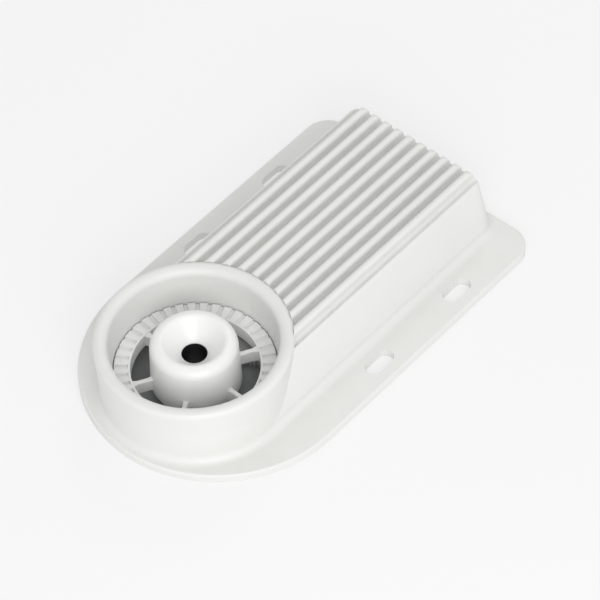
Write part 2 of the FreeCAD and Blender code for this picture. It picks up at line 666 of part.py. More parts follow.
def key_gaps():
    pitch = 360 / KEY_COUNT
    width = 2 * math.pi * (RIM_INNER_R + RIM_OUTER_R) / 2 / KEY_COUNT * (1 - KEY_SHARE)
    gap = box(RIM_INNER_R + KEY_INSET, RIM_OUTER_R + 1, -width / 2, width / 2,
              RIM_TOP_Z - KEY_HEIGHT, RIM_TOP_Z + 1)
    return Part.makeCompound([turned(gap, (i + 0.5) * pitch) for i in range(KEY_COUNT)])


def gear_screw_places():
    ring_r = (GEAR_LIP_INNER_R + GEAR_SEAT_R) / 2
    return [polar(ring_r, i * 360 / GEAR_SCREW_COUNT) for i in range(GEAR_SCREW_COUNT)]


def drive_wheel():
    lip_z = RING_GEAR_Z + GEAR_LIP_THICKNESS
    rim = revolve([
        (RIM_INNER_R, lip_z), (GEAR_SEAT_R, lip_z), (GEAR_SEAT_R, RING_GEAR_TOP),
        (RIM_OUTER_R, RING_GEAR_TOP), (RIM_OUTER_R, RIM_TOP_Z), (RIM_INNER_R, RIM_TOP_Z),
    ])
    web = box(BOSS_R - 1.5, RIM_INNER_R + 0.5, -WEB_THICKNESS / 2, WEB_THICKNESS / 2, lip_z, WEB_TOP_Z)
    webs = [turned(web, 360 / WEB_COUNT * (i + 0.5)) for i in range(WEB_COUNT)]
    solid = join([boss(), rim.cut(key_gaps())] + webs)
    holes = [rod(SMALL_SCREW_R, 0, RING_GEAR_TOP, x, y) for x, y in gear_screw_places()]
    return solid.cut(Part.makeCompound(holes))


def hub_sleeve():
    return tube(SLEEVE_R, BORE_R, JOURNAL_Z, SLEEVE_TOP_Z)


def ring_gear():
    teeth = gear_blank(RING_TEETH, OUT_MODULE, RING_GEAR_Z, RING_GEAR_TOP, 0)
    solid = teeth.cut(rod(GEAR_SEAT_R, RING_GEAR_Z + GEAR_LIP_THICKNESS, RING_GEAR_TOP + 1))
    solid = solid.cut(rod(GEAR_LIP_INNER_R, 0, RING_GEAR_TOP + 1))
    holes = []
    for x, y in gear_screw_places():
        holes += countersink(x, y, RING_GEAR_Z, GEAR_HEAD_R, SMALL_SCREW_R, GEAR_HEAD_HEIGHT,
                             GEAR_LIP_THICKNESS)
    return solid.cut(Part.makeCompound(holes))


def ring_gear_screws():
    return [countersunk_screw(x, y, RING_GEAR_Z, GEAR_HEAD_R, SMALL_SCREW_R, GEAR_HEAD_HEIGHT,
                              RING_GEAR_TOP - GEAR_SCREW_TIP) for x, y in gear_screw_places()]


def hub_bush():
    barrel = rod(BUSH_R, JOURNAL_Z, BUSH_TOP_Z)
    flange = rod(BUSH_FLANGE_R, HUB_BOSS_Z, BUSH_TOP_Z)
    return barrel.fuse(flange).cut(rod(BUSH_BORE_R, -1, BUSH_TOP_Z + 1)).removeSplitter()


def thrust_washer():
    return tube(BUSH_FLANGE_R, JOURNAL_R + WASHER_BORE_GAP, BUSH_TOP_Z, RING_GEAR_Z - AXIAL_PLAY)


def wheel_seal():
    return tube(CAVITY_R - SEAL_EDGE_GAP, CUP_THROAT_R + SEAL_BORE_GAP,
                CUP_FLOOR_Z - SEAL_THICKNESS, CUP_FLOOR_Z)


# ---------------------------------------------------------------- idler

def idler_pin():
    pin = rod(IDLER_PIN_R, PIN_FLOOR, IDLER_PIN_TOP_Z, IDLER_X)
    return pin.makeChamfer(PIN_CHAMFER, edges_where(pin, lambda e: len(e.Vertexes) == 1))


def idler_pinion():
    first = 180 + 180 / PINION_TEETH
    teeth = gear_blank(PINION_TEETH, OUT_MODULE, IDLER_GEAR_TOP, PINION_TOP, first, IDLER_X)
    hub = rod(IDLER_HUB_R, IDLER_GEAR_Z, IDLER_GEAR_TOP + 0.5, IDLER_X)
    return teeth.fuse(hub).cut(rod(IDLER_PIN_R + RUNNING_GAP, 0, PINION_TOP + 1, IDLER_X))


def idler_gear():
    teeth = gear_blank(IDLER_TEETH, IN_MODULE, IDLER_GEAR_Z, IDLER_GEAR_TOP, 0, IDLER_X)
    outer = IN_MODULE * IDLER_TEETH / 2 - GEAR_RELIEF
    groove = tube(outer, IDLER_HUB_R + GEAR_RELIEF, IDLER_GEAR_TOP - GEAR_GROOVE, IDLER_GEAR_TOP + 1, IDLER_X)
    return teeth.cut(rod(IDLER_HUB_R, 0, IDLER_GEAR_TOP + 1, IDLER_X)).cut(groove)


def idler_washers():
    low = tube(WASHER_OUTER_R, IDLER_PIN_R, WASHER_Z, WASHER_TOP_Z, IDLER_X)
    high = tube(WASHER_OUTER_R, IDLER_PIN_R, PINION_TOP + AXIAL_PLAY, CUP_FLOOR_Z, IDLER_X)
    return [low, high]


# ---------------------------------------------------------------- motor

def motor_plate():
    arm = box(MOTOR_X, MOTOR_X + MOTOR_POST_RING_R, -MOTOR_POST_R, MOTOR_POST_R, MOTOR_PLATE_Z, PLATE_TOP_Z)
    ears = [rod(MOTOR_POST_R, MOTOR_PLATE_Z, PLATE_TOP_Z, x, y) for x, y in motor_posts()]
    ears += [turned(arm, a, MOTOR_X) for a in MOTOR_POST_ANGLES]
    solid = join([rod(MOTOR_PLATE_R, MOTOR_PLATE_Z, PLATE_TOP_Z, MOTOR_X)] + ears)
    holes = [rod(MOTOR_BUSH_R, 0, PLATE_TOP_Z + 1, MOTOR_X)]
    for x, y in motor_posts():
        holes += countersink(x, y, MOTOR_PLATE_Z, PLATE_HEAD_R, SMALL_SCREW_R, PLATE_HEAD_HEIGHT,
                             MOTOR_PLATE_THICKNESS)
    return solid.cut(Part.makeCompound(holes))


def motor_plate_screws():
    tip_z = PLATE_TOP_Z + PLATE_SCREW_DEPTH - SCREW_END_GAP
    return [countersunk_screw(x, y, MOTOR_PLATE_Z, PLATE_HEAD_R, SMALL_SCREW_R, PLATE_HEAD_HEIGHT, tip_z)
            for x, y in motor_posts()]


def motor_can():
    outer = rod(MOTOR_R, PLATE_TOP_Z, MOTOR_TOP_Z, MOTOR_X)
    outer = outer.makeFillet(CAN_EDGE_R, edges_where(outer, lambda e: flat_at(e, MOTOR_TOP_Z)))
    inside = rod(CAN_INNER_R, PLATE_TOP_Z - 1, MOTOR_TOP_Z - MOTOR_CAN_WALL, MOTOR_X)
    collar = rod(MOTOR_BUSH_R + BUSH_COLLAR, MOTOR_TOP_Z - MOTOR_BUSH_LENGTH, MOTOR_TOP_Z - 1, MOTOR_X)
    return outer.cut(inside).fuse(collar).cut(rod(MOTOR_BUSH_R, 0, MOTOR_TOP_Z + 1, MOTOR_X))


def motor_bush(z):
    return tube(MOTOR_BUSH_R, SHAFT_R + RUNNING_GAP, z, z + MOTOR_BUSH_LENGTH, MOTOR_X)


def stator_core():
    z0, z1 = STATOR_Z
    yoke = tube(CAN_INNER_R, YOKE_INNER_R, z0, z1, MOTOR_X)
    shoe_r = STATOR_BORE_R + TOOTH_SHOE
    tooth = box(MOTOR_X + shoe_r - TOOTH_SHOE / 4, MOTOR_X + YOKE_INNER_R + STATOR_YOKE / 4,
                -TOOTH_WIDTH / 2, TOOTH_WIDTH / 2, z0, z1)
    shoe = tube(shoe_r, STATOR_BORE_R, z0, z1, MOTOR_X)
    shoe = shoe.common(box(MOTOR_X, MOTOR_X + shoe_r, -SHOE_HALF, SHOE_HALF, z0, z1))
    pole = tooth.fuse(shoe)
    step = 360 / STATOR_TEETH
    return join([yoke] + [turned(pole, i * step, MOTOR_X) for i in range(STATOR_TEETH)])


def stator_coils():
    z0, z1 = STATOR_Z
    near = MOTOR_X + STATOR_BORE_R + TOOTH_SHOE + COIL_GAP
    hole_half = TOOTH_WIDTH / 2 + COIL_GAP
    half = TOOTH_WIDTH / 2 + COIL_DEPTH
    far = MOTOR_X + math.sqrt((YOKE_INNER_R - COIL_GAP) ** 2 - half ** 2)
    outer = box(near, far, -half, half, z0 - COIL_DEPTH, z1 + COIL_DEPTH)
    spread = math.radians(180 / STATOR_TEETH - 1)
    reach = 2 * MOTOR_R
    wedge = Part.makePolygon([V(MOTOR_X, 0, 0), V(MOTOR_X + reach, -reach * math.tan(spread), 0),
                              V(MOTOR_X + reach, reach * math.tan(spread), 0), V(MOTOR_X, 0, 0)])
    outer = outer.common(Part.Face(wedge).extrude(V(0, 0, MOTOR_TOP_Z)))
    coil = outer.cut(box(near - 1, far + 1, -hole_half, hole_half, z0 - COIL_GAP, z1 + COIL_GAP))
    return [turned(coil, i * 360 / STATOR_TEETH, MOTOR_X) for i in range(STATOR_TEETH)]


def rotor_core():
    return tube(ROTOR_R - MAGNET_THICKNESS, SHAFT_R, ROTOR_Z[0], ROTOR_Z[1], MOTOR_X)


def rotor_magnets():
    ring = tube(ROTOR_R, ROTOR_R - MAGNET_THICKNESS, ROTOR_Z[0], ROTOR_Z[1], MOTOR_X)
    slit = box(MOTOR_X, MOTOR_X + ROTOR_R + 1, -MAGNET_SLIT / 2, MAGNET_SLIT / 2, 0, MOTOR_TOP_Z)
    step = 360 / MAGNET_COUNT
    pieces = ring.cut(Part.makeCompound([turned(slit, i * step, MOTOR_X) for i in range(MAGNET_COUNT)]))
    return pieces.Solids


def motor_shaft():
    shaft = rod(SHAFT_R, IDLER_GEAR_Z - PINION_PROUD - AXIAL_PLAY, MOTOR_TOP_Z - 2 * AXIAL_PLAY, MOTOR_X)
    return shaft.makeChamfer(SHAFT_CHAMFER, edges_where(shaft, lambda e: len(e.Vertexes) == 1))


def motor_pinion():
    first = 180 + 180 / MOTOR_TEETH
    teeth = gear_blank(MOTOR_TEETH, IN_MODULE, IDLER_GEAR_Z - PINION_PROUD, IDLER_GEAR_TOP + PINION_PROUD,
                       first, MOTOR_X)
    return teeth.cut(rod(SHAFT_R, 0, IDLER_GEAR_TOP + 1, MOTOR_X))


def motor_pad():
    return tube(PAD_R, MOTOR_BUSH_R + 1, MOTOR_TOP_Z, CEILING_Z, MOTOR_X)


# ---------------------------------------------------------------- electronics

def control_board():
    solid = box(BOARD_X[0], BOARD_X[1], -BOARD_HALF_Y, BOARD_HALF_Y, BOARD_Z, BOARD_TOP_Z)
    upright = edges_where(solid, lambda e: e.BoundBox.ZLength > BOARD_THICKNESS / 2)
    solid = solid.makeFillet(BOARD_CORNER_R, upright)
    holes = [rod(SMALL_SCREW_R + SCREW_GAP, 0, BOARD_TOP_Z + 1, x, y) for x, y in board_posts()]
    return solid.cut(Part.makeCompound(holes))


def board_screws():
    return [pan_screw(x, y, BOARD_Z, CEILING_Z - 1 - SCREW_END_GAP) for x, y in board_posts()]


def row(count, pitch):
    """Places along Y, evenly spaced about the long axis."""
    return [(i - (count - 1) / 2) * pitch for i in range(count)]


def power_transistors():
    """Flat packages between the board and the ceiling, each with three legs."""
    x = BOARD_X[1] - TRANSISTOR_END_GAP
    half_x, half_y = TRANSISTOR_SIZE[0] / 2, TRANSISTOR_SIZE[1] / 2
    top_z = CEILING_Z - TRANSISTOR_PAD_THICKNESS
    pieces = []
    for y in row(TRANSISTOR_COUNT, TRANSISTOR_PITCH):
        body = box(x - half_x, x + half_x, y - half_y, y + half_y, BOARD_TOP_Z + LEG_WIDTH / 2, top_z)
        legs = [box(x - half_x - 2, x - half_x + 1, y + leg - LEG_WIDTH / 2, y + leg + LEG_WIDTH / 2,
                    BOARD_TOP_Z, BOARD_TOP_Z + LEG_WIDTH) for leg in row(3, LEG_PITCH)]
        pieces.append(join([body] + legs))
    return pieces


def transistor_pad():
    x = BOARD_X[1] - TRANSISTOR_END_GAP
    half_x = TRANSISTOR_SIZE[0] / 2 + 0.5
    half_y = TRANSISTOR_COUNT * TRANSISTOR_PITCH / 2
    return box(x - half_x, x + half_x, -half_y, half_y, CEILING_Z - TRANSISTOR_PAD_THICKNESS, CEILING_Z)


def capacitors():
    x = BOARD_X[0] + CAPACITOR_INSET
    bottom = BOARD_Z - CAPACITOR_LENGTH
    cans = [rod(CAPACITOR_R, bottom, BOARD_Z, x, y) for y in row(CAPACITOR_COUNT, CAPACITOR_PITCH)]
    return [c.makeFillet(CAPACITOR_R / 6, edges_where(c, lambda e: flat_at(e, bottom))) for c in cans]


def control_chips():
    """Half-length, half-width and place of each chip, measured back from the board's far end."""
    chips = ((27.0, 24.0, 5.0, 5.0), (27.0, -24.0, 4.0, 3.0), (16.0, -22.0, 3.0, 2.5))
    end = BOARD_X[1]
    return [box(end - back - a, end - back + a, y - b, y + b, BOARD_Z - CHIP_THICKNESS, BOARD_Z)
            for back, y, a, b in chips]


def terminal_block():
    length, depth = TERMINAL_SIZE
    end = BOARD_X[1] - TERMINAL_END_GAP
    half = TERMINAL_COUNT * TERMINAL_PITCH / 2
    bottom = BOARD_Z - depth
    solid = box(end - length, end, -half, half, bottom, BOARD_Z)
    cuts = []
    for y in row(TERMINAL_COUNT, TERMINAL_PITCH):
        cuts.append(rod(TERMINAL_PITCH / 3, bottom - 1, bottom + depth / 2, end - length / 2, y))
        cuts.append(box(end - length / 4, end + 1, y - TERMINAL_PITCH / 3, y + TERMINAL_PITCH / 3,
                        BOARD_Z - depth / 2, BOARD_Z - depth / 5))
    return solid.cut(Part.makeCompound(cuts))


def motor_connector():
    length, width, depth = PLUG_SIZE
    x = BOARD_X[0] + PLUG_INSET
    y = PLUG_Y - width / 2
    solid = box(x, x + length, y, y + width, BOARD_Z - depth, BOARD_Z)
    return solid.cut(box(x + 1, x + length - 1, y + 1, y + width - 1, BOARD_Z - depth - 1, BOARD_Z - 1))


def cable_grommet():
    """A blanked rubber entry in the far wall, its lips inside and outside."""
    wall_out = BLOCK_END_X + GROMMET_OUTER_GAP
    wall_in = BLOCK_END_X - WALL - GROMMET_INNER_GAP
    axis = V(1, 0, 0)
    barrel = Part.makeCylinder(GROMMET_R, wall_out - wall_in, V(wall_in, 0, GROMMET_Z), axis)
    outer = Part.makeCone(GROMMET_LIP_R, GROMMET_LIP_R - 1.5, GROMMET_LIP, V(wall_out, 0, GROMMET_Z), axis)
    inner = Part.makeCylinder(GROMMET_LIP_R, GROMMET_LIP, V(wall_in - GROMMET_LIP, 0, GROMMET_Z), axis)
    dimple = Part.makeCylinder(GROMMET_R - 2.5, 3, V(wall_out - 1, 0, GROMMET_Z), axis)
    return join([barrel, outer, inner]).cut(dimple)


# ---------------------------------------------------------------- write every node

def group(shapes):
    return Part.makeCompound(shapes) if isinstance(shapes, list) else shapes


NODES = {
    "housing": housing,
    "back_cover": back_cover,
    "cover_gasket": cover_gasket,
    "cover_screws": cover_screws,
    "drive_wheel": drive_wheel,
    "hub_sleeve": hub_sleeve,
    "ring_gear": ring_gear,
    "ring_gear_screws": ring_gear_screws,
    "hub_bush": hub_bush,
    "thrust_washer": thrust_washer,
    "wheel_seal": wheel_seal,
    "idler_pin": idler_pin,
    "idler_pinion": idler_pinion,
    "idler_gear": idler_gear,
    "idler_washers": idler_washers,
    "motor_plate": motor_plate,
    "motor_plate_screws": motor_plate_screws,
    "motor_can": motor_can,
    "motor_bush_lower": lambda: motor_bush(MOTOR_PLATE_Z),
    "motor_bush_upper": lambda: motor_bush(MOTOR_TOP_Z - MOTOR_BUSH_LENGTH),
    "stator_core": stator_core,
    "stator_coils": stator_coils,
    "rotor_core": rotor_core,
    "rotor_magnets": rotor_magnets,
    "motor_shaft": motor_shaft,
    "motor_pinion": motor_pinion,
    "motor_pad": motor_pad,
    "control_board": control_board,
    "board_screws": board_screws,
    "power_transistors": power_transistors,
    "transistor_pad": transistor_pad,
    "capacitors": capacitors,
    "control_chips": control_chips,
    "terminal_block": terminal_block,
    "motor_connector": motor_connector,
    "cable_grommet": cable_grommet,
}

os.makedirs("parts", exist_ok=True)
for name, make in NODES.items():
    save(name, group(make()))
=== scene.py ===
"""Wall-mounted garage door opener: finishes and finer pieces, in the order that it goes together."""
import bmesh
import bpy
import math
from mathutils import Matrix, Vector


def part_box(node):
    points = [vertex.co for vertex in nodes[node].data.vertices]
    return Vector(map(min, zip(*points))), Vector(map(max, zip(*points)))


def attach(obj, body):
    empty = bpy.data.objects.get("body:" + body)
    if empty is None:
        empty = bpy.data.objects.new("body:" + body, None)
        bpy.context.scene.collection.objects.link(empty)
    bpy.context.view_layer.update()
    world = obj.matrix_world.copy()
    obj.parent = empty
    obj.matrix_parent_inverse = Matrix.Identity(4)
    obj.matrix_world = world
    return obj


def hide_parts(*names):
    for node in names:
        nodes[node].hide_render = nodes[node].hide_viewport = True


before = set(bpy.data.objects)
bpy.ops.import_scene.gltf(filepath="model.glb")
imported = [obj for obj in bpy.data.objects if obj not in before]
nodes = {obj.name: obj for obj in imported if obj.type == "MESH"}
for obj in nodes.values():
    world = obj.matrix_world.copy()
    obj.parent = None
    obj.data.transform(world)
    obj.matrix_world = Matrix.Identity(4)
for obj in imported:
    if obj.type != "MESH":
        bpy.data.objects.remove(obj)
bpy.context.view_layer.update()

# ---- Studio ----
# A white floor that glows a little, as a lit sweep does, under an even white sky. One large soft box
# stands off the cup's side and a weak one behind. The floor shows only from above, so that the mounting
# side can be looked at too.
AZIMUTH = math.radians(-47.2)
ELEVATION = math.radians(49.91)
ROLL = math.radians(-2.38)
CAMERA_DISTANCE = 1.7458
LENS_MM = 206.7
SENSOR_MM = 36.0
AIM = Vector((0.072, 0.0, 0.018))
FRAME_RIGHT = 0.0047
FRAME_DOWN = 0.0091
SKY_STRENGTH = 0.73
FLOOR_HALF = 6.0
FLOOR_GREY = 0.8
FLOOR_GLOW = 0.55
FLOOR_ROUGHNESS = 0.9

bpy.context.scene.view_settings.view_transform = "Standard"
camera_data = bpy.data.cameras.new("camera")
camera_data.lens = LENS_MM
camera_data.sensor_width = SENSOR_MM
camera = bpy.data.objects.new("camera", camera_data)
bpy.context.collection.objects.link(camera)
back = Vector((math.sin(AZIMUTH) * math.cos(ELEVATION), -math.cos(AZIMUTH) * math.cos(ELEVATION),
               math.sin(ELEVATION)))
level_right = Vector((math.cos(AZIMUTH), math.sin(AZIMUTH), 0.0))
level_up = back.cross(level_right)
right = level_right * math.cos(ROLL) + level_up * math.sin(ROLL)
up = level_up * math.cos(ROLL) - level_right * math.sin(ROLL)
place = AIM + right * FRAME_RIGHT - up * FRAME_DOWN + back * CAMERA_DISTANCE
camera.matrix_world = Matrix.Translation(place) @ Matrix((right, up, back)).transposed().to_4x4()
bpy.context.scene.camera = camera

sky = bpy.data.worlds.new("studio")
sky.use_nodes = True
sky.node_tree.nodes["Background"].inputs["Color"].default_value = (1.0, 1.0, 1.0, 1.0)
sky.node_tree.nodes["Background"].inputs["Strength"].default_value = SKY_STRENGTH
bpy.context.scene.world = sky


def soft_box(name, stands, size, power):
    data = bpy.data.lights.new(name, "AREA")
    data.shape = "SQUARE"
    data.size = size
    data.energy = power
    lamp = bpy.data.objects.new(name, data)
    lamp.location = stands
    lamp.rotation_mode = "QUATERNION"
    lamp.rotation_quaternion = (Vector(stands) - AIM).to_track_quat("Z", "Y")
    bpy.context.collection.objects.link(lamp)


soft_box("key_box", (-0.72, -0.98, 0.88), 1, 11.5)
soft_box("rear_box", (0.9, 0.35, 0.9), 0.5, 1.5)

floor_mesh = bpy.data.meshes.new("floor")
floor_mesh.from_pydata([(x * FLOOR_HALF, y * FLOOR_HALF, 0.0) for x, y in ((-1, -1), (1, -1), (1, 1), (-1, 1))],
                       [], [(0, 1, 2, 3)])
floor = bpy.data.objects.new("floor", floor_mesh)
bpy.context.collection.objects.link(floor)
floor_paint = bpy.data.materials.new("floor_white")
floor_paint.use_nodes = True
floor_nodes = floor_paint.node_tree.nodes
floor_links = floor_paint.node_tree.links
floor_shader = floor_nodes["Principled BSDF"]
floor_shader.inputs["Base Color"].default_value = (FLOOR_GREY, FLOOR_GREY, FLOOR_GREY, 1.0)
floor_shader.inputs["Roughness"].default_value = FLOOR_ROUGHNESS
glow = floor_nodes.new("ShaderNodeEmission")
see_through = floor_nodes.new("ShaderNodeBsdfTransparent")
side = floor_nodes.new("ShaderNodeNewGeometry")
glow_mix = floor_nodes.new("ShaderNodeMixShader")
side_mix = floor_nodes.new("ShaderNodeMixShader")
glow_mix.inputs[0].default_value = FLOOR_GLOW
floor_links.new(floor_shader.outputs["BSDF"], glow_mix.inputs[1])
floor_links.new(glow.outputs["Emission"], glow_mix.inputs[2])
floor_links.new(side.outputs["Backfacing"], side_mix.inputs[0])
floor_links.new(glow_mix.outputs["Shader"], side_mix.inputs[1])
floor_links.new(see_through.outputs["BSDF"], side_mix.inputs[2])
floor_links.new(side_mix.outputs["Shader"], floor_nodes["Material Output"].inputs["Surface"])
floor_mesh.materials.append(floor_paint)

# ---- Housing ----
# One aluminium die casting: slotted flange, cup and finned block. It is blasted and powder coated
# white, so the skin has a faint orange peel and fine dust lies on the faces that look up.


def shader_group(name, inputs, outputs):
    """An empty shader group with its sockets, and its two end nodes."""
    tree = bpy.data.node_groups.new(name, "ShaderNodeTree")
    for label, kind, value in inputs:
        tree.interface.new_socket(name=label, in_out="INPUT", socket_type=kind).default_value = value
    for label in outputs:
        tree.interface.new_socket(name=label, in_out="OUTPUT", socket_type="NodeSocketFloat")
    return tree, tree.nodes.new("NodeGroupInput"), tree.nodes.new("NodeGroupOutput")


def grain_group():
    """Fine relief and a slow drift of tone over a surface."""
    tree, given, result = shader_group("grain", [
        ("Place", "NodeSocketVector", (0.0, 0.0, 0.0)),
        ("Stretch", "NodeSocketVector", (1.0, 1.0, 1.0)),
        ("Fineness", "NodeSocketFloat", 1500.0),
        ("Patches", "NodeSocketFloat", 40.0),
    ], ["Height", "Tone"])
    stretched = tree.nodes.new("ShaderNodeVectorMath")
    stretched.operation = "MULTIPLY"
    tree.links.new(given.outputs["Place"], stretched.inputs[0])
    tree.links.new(given.outputs["Stretch"], stretched.inputs[1])
    for size, output in (("Fineness", "Height"), ("Patches", "Tone")):
        noise = tree.nodes.new("ShaderNodeTexNoise")
        noise.inputs["Detail"].default_value = 3.0
        tree.links.new(stretched.outputs["Vector"], noise.inputs["Vector"])
        tree.links.new(given.outputs[size], noise.inputs["Scale"])
        tree.links.new(noise.outputs["Fac"], result.inputs[output])
    return tree


def dust_group():
    """Dust on the faces that look up, thicker in patches."""
    tree, given, result = shader_group("dust", [
        ("Place", "NodeSocketVector", (0.0, 0.0, 0.0)),
        ("Amount", "NodeSocketFloat", 0.1),
        ("Patches", "NodeSocketFloat", 90.0),
    ], ["Mask"])
    facing = tree.nodes.new("ShaderNodeNewGeometry")
    split = tree.nodes.new("ShaderNodeSeparateXYZ")
    level = tree.nodes.new("ShaderNodeMapRange")
    level.inputs["From Min"].default_value = 0.75
    noise = tree.nodes.new("ShaderNodeTexNoise")
    noise.inputs["Detail"].default_value = 4.0
    patchy = tree.nodes.new("ShaderNodeMath")
    patchy.operation = "MULTIPLY"
    thinned = tree.nodes.new("ShaderNodeMath")
    thinned.operation = "MULTIPLY"
    tree.links.new(facing.outputs["Normal"], split.inputs["Vector"])
    tree.links.new(split.outputs["Z"], level.inputs["Value"])
    tree.links.new(given.outputs["Place"], noise.inputs["Vector"])
    tree.links.new(given.outputs["Patches"], noise.inputs["Scale"])
    tree.links.new(level.outputs["Result"], patchy.inputs[0])
    tree.links.new(noise.outputs["Fac"], patchy.inputs[1])
    tree.links.new(patchy.outputs["Value"], thinned.inputs[0])
    tree.links.new(given.outputs["Amount"], thinned.inputs[1])
    tree.links.new(thinned.outputs["Value"], result.inputs["Mask"])
    return tree


GRAIN = grain_group()
DUST = dust_group()
DUST_COLOUR = (0.42, 0.4, 0.37, 1.0)


def finish(name, light, deep, gloss, fineness, relief, metallic=0.0, stretch=(1.0, 1.0, 1.0), dust=0.0):
    """A finish whose colour runs between two tones and whose roughness runs between two values."""
    made = bpy.data.materials.new(name)
    made.use_nodes = True
    tree = made.node_tree
    shader = tree.nodes["Principled BSDF"]
    shader.inputs["Metallic"].default_value = metallic
    where = tree.nodes.new("ShaderNodeTexCoord")
    skin = tree.nodes.new("ShaderNodeGroup")
    skin.node_tree = GRAIN
    skin.inputs["Fineness"].default_value = fineness
    skin.inputs["Stretch"].default_value = stretch
    tree.links.new(where.outputs["Object"], skin.inputs["Place"])
    tones = tree.nodes.new("ShaderNodeMix")
    tones.data_type = "RGBA"
    tones.inputs["A"].default_value = (*deep, 1.0)
    tones.inputs["B"].default_value = (*light, 1.0)
    tree.links.new(skin.outputs["Tone"], tones.inputs["Factor"])
    colour = tones.outputs["Result"]
    if dust:
        settled = tree.nodes.new("ShaderNodeGroup")
        settled.node_tree = DUST
        settled.inputs["Amount"].default_value = dust
        tree.links.new(where.outputs["Object"], settled.inputs["Place"])
        dusty = tree.nodes.new("ShaderNodeMix")
        dusty.data_type = "RGBA"
        dusty.inputs["B"].default_value = DUST_COLOUR
        tree.links.new(settled.outputs["Mask"], dusty.inputs["Factor"])
        tree.links.new(colour, dusty.inputs["A"])
        colour = dusty.outputs["Result"]
    tree.links.new(colour, shader.inputs["Base Color"])
    rough = tree.nodes.new("ShaderNodeMapRange")
    rough.inputs["To Min"].default_value = gloss[0]
    rough.inputs["To Max"].default_value = gloss[1]
    tree.links.new(skin.outputs["Tone"], rough.inputs["Value"])
    tree.links.new(rough.outputs["Result"], shader.inputs["Roughness"])
    bump = tree.nodes.new("ShaderNodeBump")
    bump.inputs["Distance"].default_value = relief
    tree.links.new(skin.outputs["Height"], bump.inputs["Height"])
    tree.links.new(bump.outputs["Normal"], shader.inputs["Normal"])
    return made


def dress(material, *names):
    """Puts one finish on CAD nodes."""
    for name in names:
        nodes[name].data.materials.clear()
        nodes[name].data.materials.append(material)


powder_coat = finish("powder_coat_white", (0.76, 0.76, 0.745), (0.72, 0.72, 0.70), (0.38, 0.5), 1300.0, 1.2e-5,
                     dust=0.12)
dress(powder_coat, "housing")

# ---- Drive wheel ----
# A white acetal moulding: a bored boss with a wide funnel, six webs and a rim with forty drive keys.
# It comes from one tool, so every edge has the tool's small radius and the webs flare into the rim.
WHEEL_LOW, WHEEL_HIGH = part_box("drive_wheel")
SLEEVE_LOW, SLEEVE_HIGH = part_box("hub_sleeve")
RIM_R = WHEEL_HIGH[0]
BOSS_TOP = WHEEL_HIGH[2]
SLEEVE_R = SLEEVE_HIGH[0]
SLEEVE_TOP = SLEEVE_HIGH[2]
BORE_R = 0.0065
BOSS_R = 0.0220
BOSS_FOOT_R = 0.0230
BOSS_FOOT = 0.0095
JOURNAL_R = 0.0110
FUNNEL_R = 0.0160
FUNNEL_FLOOR = SLEEVE_TOP + 0.0005
RIM_INNER_R = 0.0325
RIM_SEAT_R = RIM_R - 0.0028
RIM_FOOT = 0.0115
RIM_SEAT = 0.0163
KEY_TOP = 0.0195
KEY_ROOT = KEY_TOP - 0.0014
KEY_INNER_R = RIM_INNER_R + 0.0012
KEY_COUNT = 40
KEY_GAP = 0.0021
WEB_COUNT = 6
WEB_TOP = 0.0188
WEB_HALF = 0.0012
WEB_FLARE = 0.001
WEB_ROOT = 0.0035
WEB_TIP = 0.0025
WEB_ROUND_R = 0.003
BOSS_ROUND_R = 0.0052
MOUTH_ROUND_R = 0.0030
THROAT_ROUND_R = 0.0008
KEY_ROUND_R = 0.0005
EDGE_R = 0.0004
SMOOTH_ANGLE = math.radians(32.0)
TURN_STEPS = 144


def rounded(points, steps=6):
    """An outline from (across, along, corner radius) corners, each corner turned into an arc."""
    outline = []
    for i, (x, y, radius) in enumerate(points):
        here = Vector((x, y))
        before = (Vector(points[i - 1][:2]) - here).normalized()
        after = (Vector(points[(i + 1) % len(points)][:2]) - here).normalized()
        if radius == 0.0:
            outline.append(here)
            continue
        half = before.angle(after) / 2
        centre = here + (before + after).normalized() * radius / math.sin(half)
        start = here + before * radius / math.tan(half) - centre
        sweep = start.angle_signed(here + after * radius / math.tan(half) - centre)
        outline += [centre + Matrix.Rotation(-sweep * s / steps, 2) @ start for s in range(steps + 1)]
    return outline


def new_object(name, mesh_data):
    made = bpy.data.objects.new(name, mesh_data)
    bpy.context.collection.objects.link(made)
    return made


def from_bmesh(name, shape):
    bmesh.ops.recalc_face_normals(shape, faces=shape.faces)
    data = bpy.data.meshes.new(name)
    shape.to_mesh(data)
    shape.free()
    return new_object(name, data)


def turned_solid(name, outline, steps=TURN_STEPS):
    """A closed ring or hub: the outline's (radius, height) points carried round Z."""
    shape = bmesh.new()
    rings = []
    for step in range(steps):
        angle = 2 * math.pi * step / steps
        rings.append([shape.verts.new((p.x * math.cos(angle), p.x * math.sin(angle), p.y)) for p in outline])
    for step in range(steps):
        ring, following = rings[step], rings[(step + 1) % steps]
        for i in range(len(outline)):
            j = (i + 1) % len(outline)
            shape.faces.new((ring[i], following[i], following[j], ring[j]))
    return from_bmesh(name, shape)


def moulded_block(name, plan, bottom, top, edge_r):
    """A plan outline raised from bottom to top, with a small radius round its top."""
    shape = bmesh.new()
    foot = [shape.verts.new((p.x, p.y, bottom)) for p in plan]
    face = shape.faces.new(foot)
    raised = bmesh.ops.extrude_face_region(shape, geom=[face])["geom"]
    crown = [v for v in raised if isinstance(v, bmesh.types.BMVert)]
    bmesh.ops.translate(shape, vec=(0.0, 0.0, top - bottom), verts=crown)
    top_edges = [e for e in shape.edges if all(v in crown for v in e.verts)]
    bmesh.ops.bevel(shape, geom=top_edges, offset=edge_r, segments=4, profile=0.5, affect="EDGES")
    return from_bmesh(name, shape)


